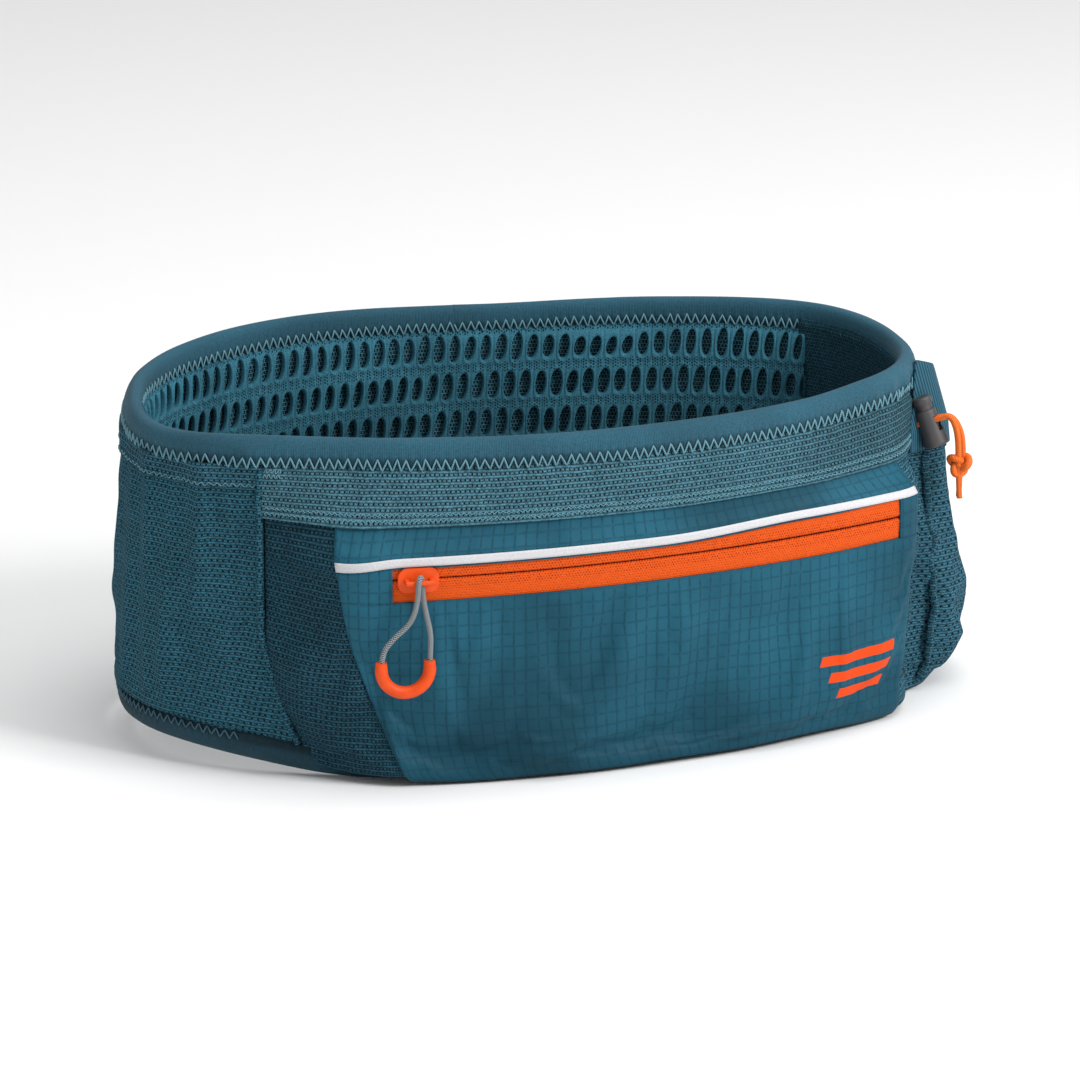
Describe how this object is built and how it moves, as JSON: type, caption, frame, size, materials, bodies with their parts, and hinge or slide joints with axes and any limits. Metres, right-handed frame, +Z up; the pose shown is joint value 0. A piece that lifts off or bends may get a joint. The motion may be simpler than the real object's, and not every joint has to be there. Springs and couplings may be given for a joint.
{
  "type": "waist pack",
  "caption": "Oval stretch waist pack: padded hoop with a zipped front pocket, open mesh side and rear pockets, and a bungee with a cord lock.",
  "frame": {"origin": "on the resting plane, under the middle of the pack's box", "axes": "+X to the wearer's left as seen from the front (picture right), -Y towards the zipped front pocket, +Z up"},
  "size_m": [0.3288, 0.2074, 0.132],
  "materials": {
    "binding_knit": "smooth folded stretch knit",
    "air_mesh": "open spacer air mesh",
    "inner_knit": "fine stretch mesh",
    "outer_mesh": "fine-hole stretch mesh",
    "ripstop": "coated ripstop nylon",
    "reflective": "reflective tape",
    "zip_tape": "woven reverse-coil zip tape",
    "zip_coil": "nylon coil",
    "slider_paint": "satin painted",
    "grey_cord": "flecked woven cord",
    "orange_grip": "moulded soft plastic",
    "ribbed_webbing": "ribbed elastic webbing",
    "orange_bungee": "woven elastic cord",
    "lock_plastic": "textured moulded plastic",
    "spring_steel": "wire"
  },
  "bodies": {
    "belt": {"top_binding": "binding_knit", "bottom_binding": "binding_knit", "lumbar_air_mesh": "air_mesh", "inner_mesh_right": "inner_knit", "inner_mesh_left": "inner_knit", "inner_mesh_front": "inner_knit", "front_pocket_lining": "inner_knit", "front_yoke_mesh": "outer_mesh", "ripstop_upper_panel": "ripstop", "ripstop_lower_panel": "ripstop", "front_mesh_left": "outer_mesh", "front_mesh_right": "outer_mesh", "pocket_top_gusset": "inner_knit", "pocket_bottom_gusset": "inner_knit", "reflective_strip": "reflective", "zip_tape_upper": "zip_tape", "zip_tape_lower": "zip_tape", "zip_coil_upper": "zip_coil", "zip_coil_lower": "zip_coil", "zip_stop_left": "zip_coil", "zip_stop_right": "zip_coil", "left_pocket_panel": "outer_mesh", "left_pocket_hem": "binding_knit", "rear_pocket_panel": "outer_mesh", "rear_pocket_hem": "binding_knit", "right_pocket_panel": "outer_mesh", "right_pocket_hem": "binding_knit", "hem_tab": "ribbed_webbing", "bungee_anchor": "ribbed_webbing", "bungee_strand_outer": "orange_bungee", "bungee_strand_inner": "orange_bungee", "bungee_knot": "orange_bungee"},
    "zip_slider": {"slider_body": "slider_paint", "slider_bail": "slider_paint"},
    "zip_pull": {"pull_cord": "grey_cord", "pull_grip": "orange_grip"},
    "cord_lock": {"cord_lock_body": "lock_plastic", "cord_lock_spring": "spring_steel"},
    "lock_plunger": {"cord_lock_plunger": "lock_plastic"}
  },
  "joints": [
    {"name": "slider_travel", "type": "hinge", "parent": "belt", "child": "zip_slider", "pos_m": [-0.02536, 0.34254, 0.0813], "axis": [0, 0, 1], "range_deg": [0, 24.4]},
    {"name": "pull_swing", "type": "hinge", "parent": "zip_slider", "child": "zip_pull", "pos_m": [-0.07056, -0.10081, 0.0813], "axis": [-0.9948, 0.1014, 0], "range_deg": [-3, 140]},
    {"name": "lock_slide", "type": "slide", "parent": "belt", "child": "cord_lock", "axis": [0.8055, -0.484, 0.342], "range_m": [0, 0.002]},
    {"name": "plunger_press", "type": "slide", "parent": "cord_lock", "child": "lock_plunger", "axis": [0.2932, -0.1762, -0.9397], "range_m": [0, 0.0022], "stiffness_N_per_m": 400, "springref_m": -0.003, "deforming": ["cord_lock_spring"]}
  ]
}
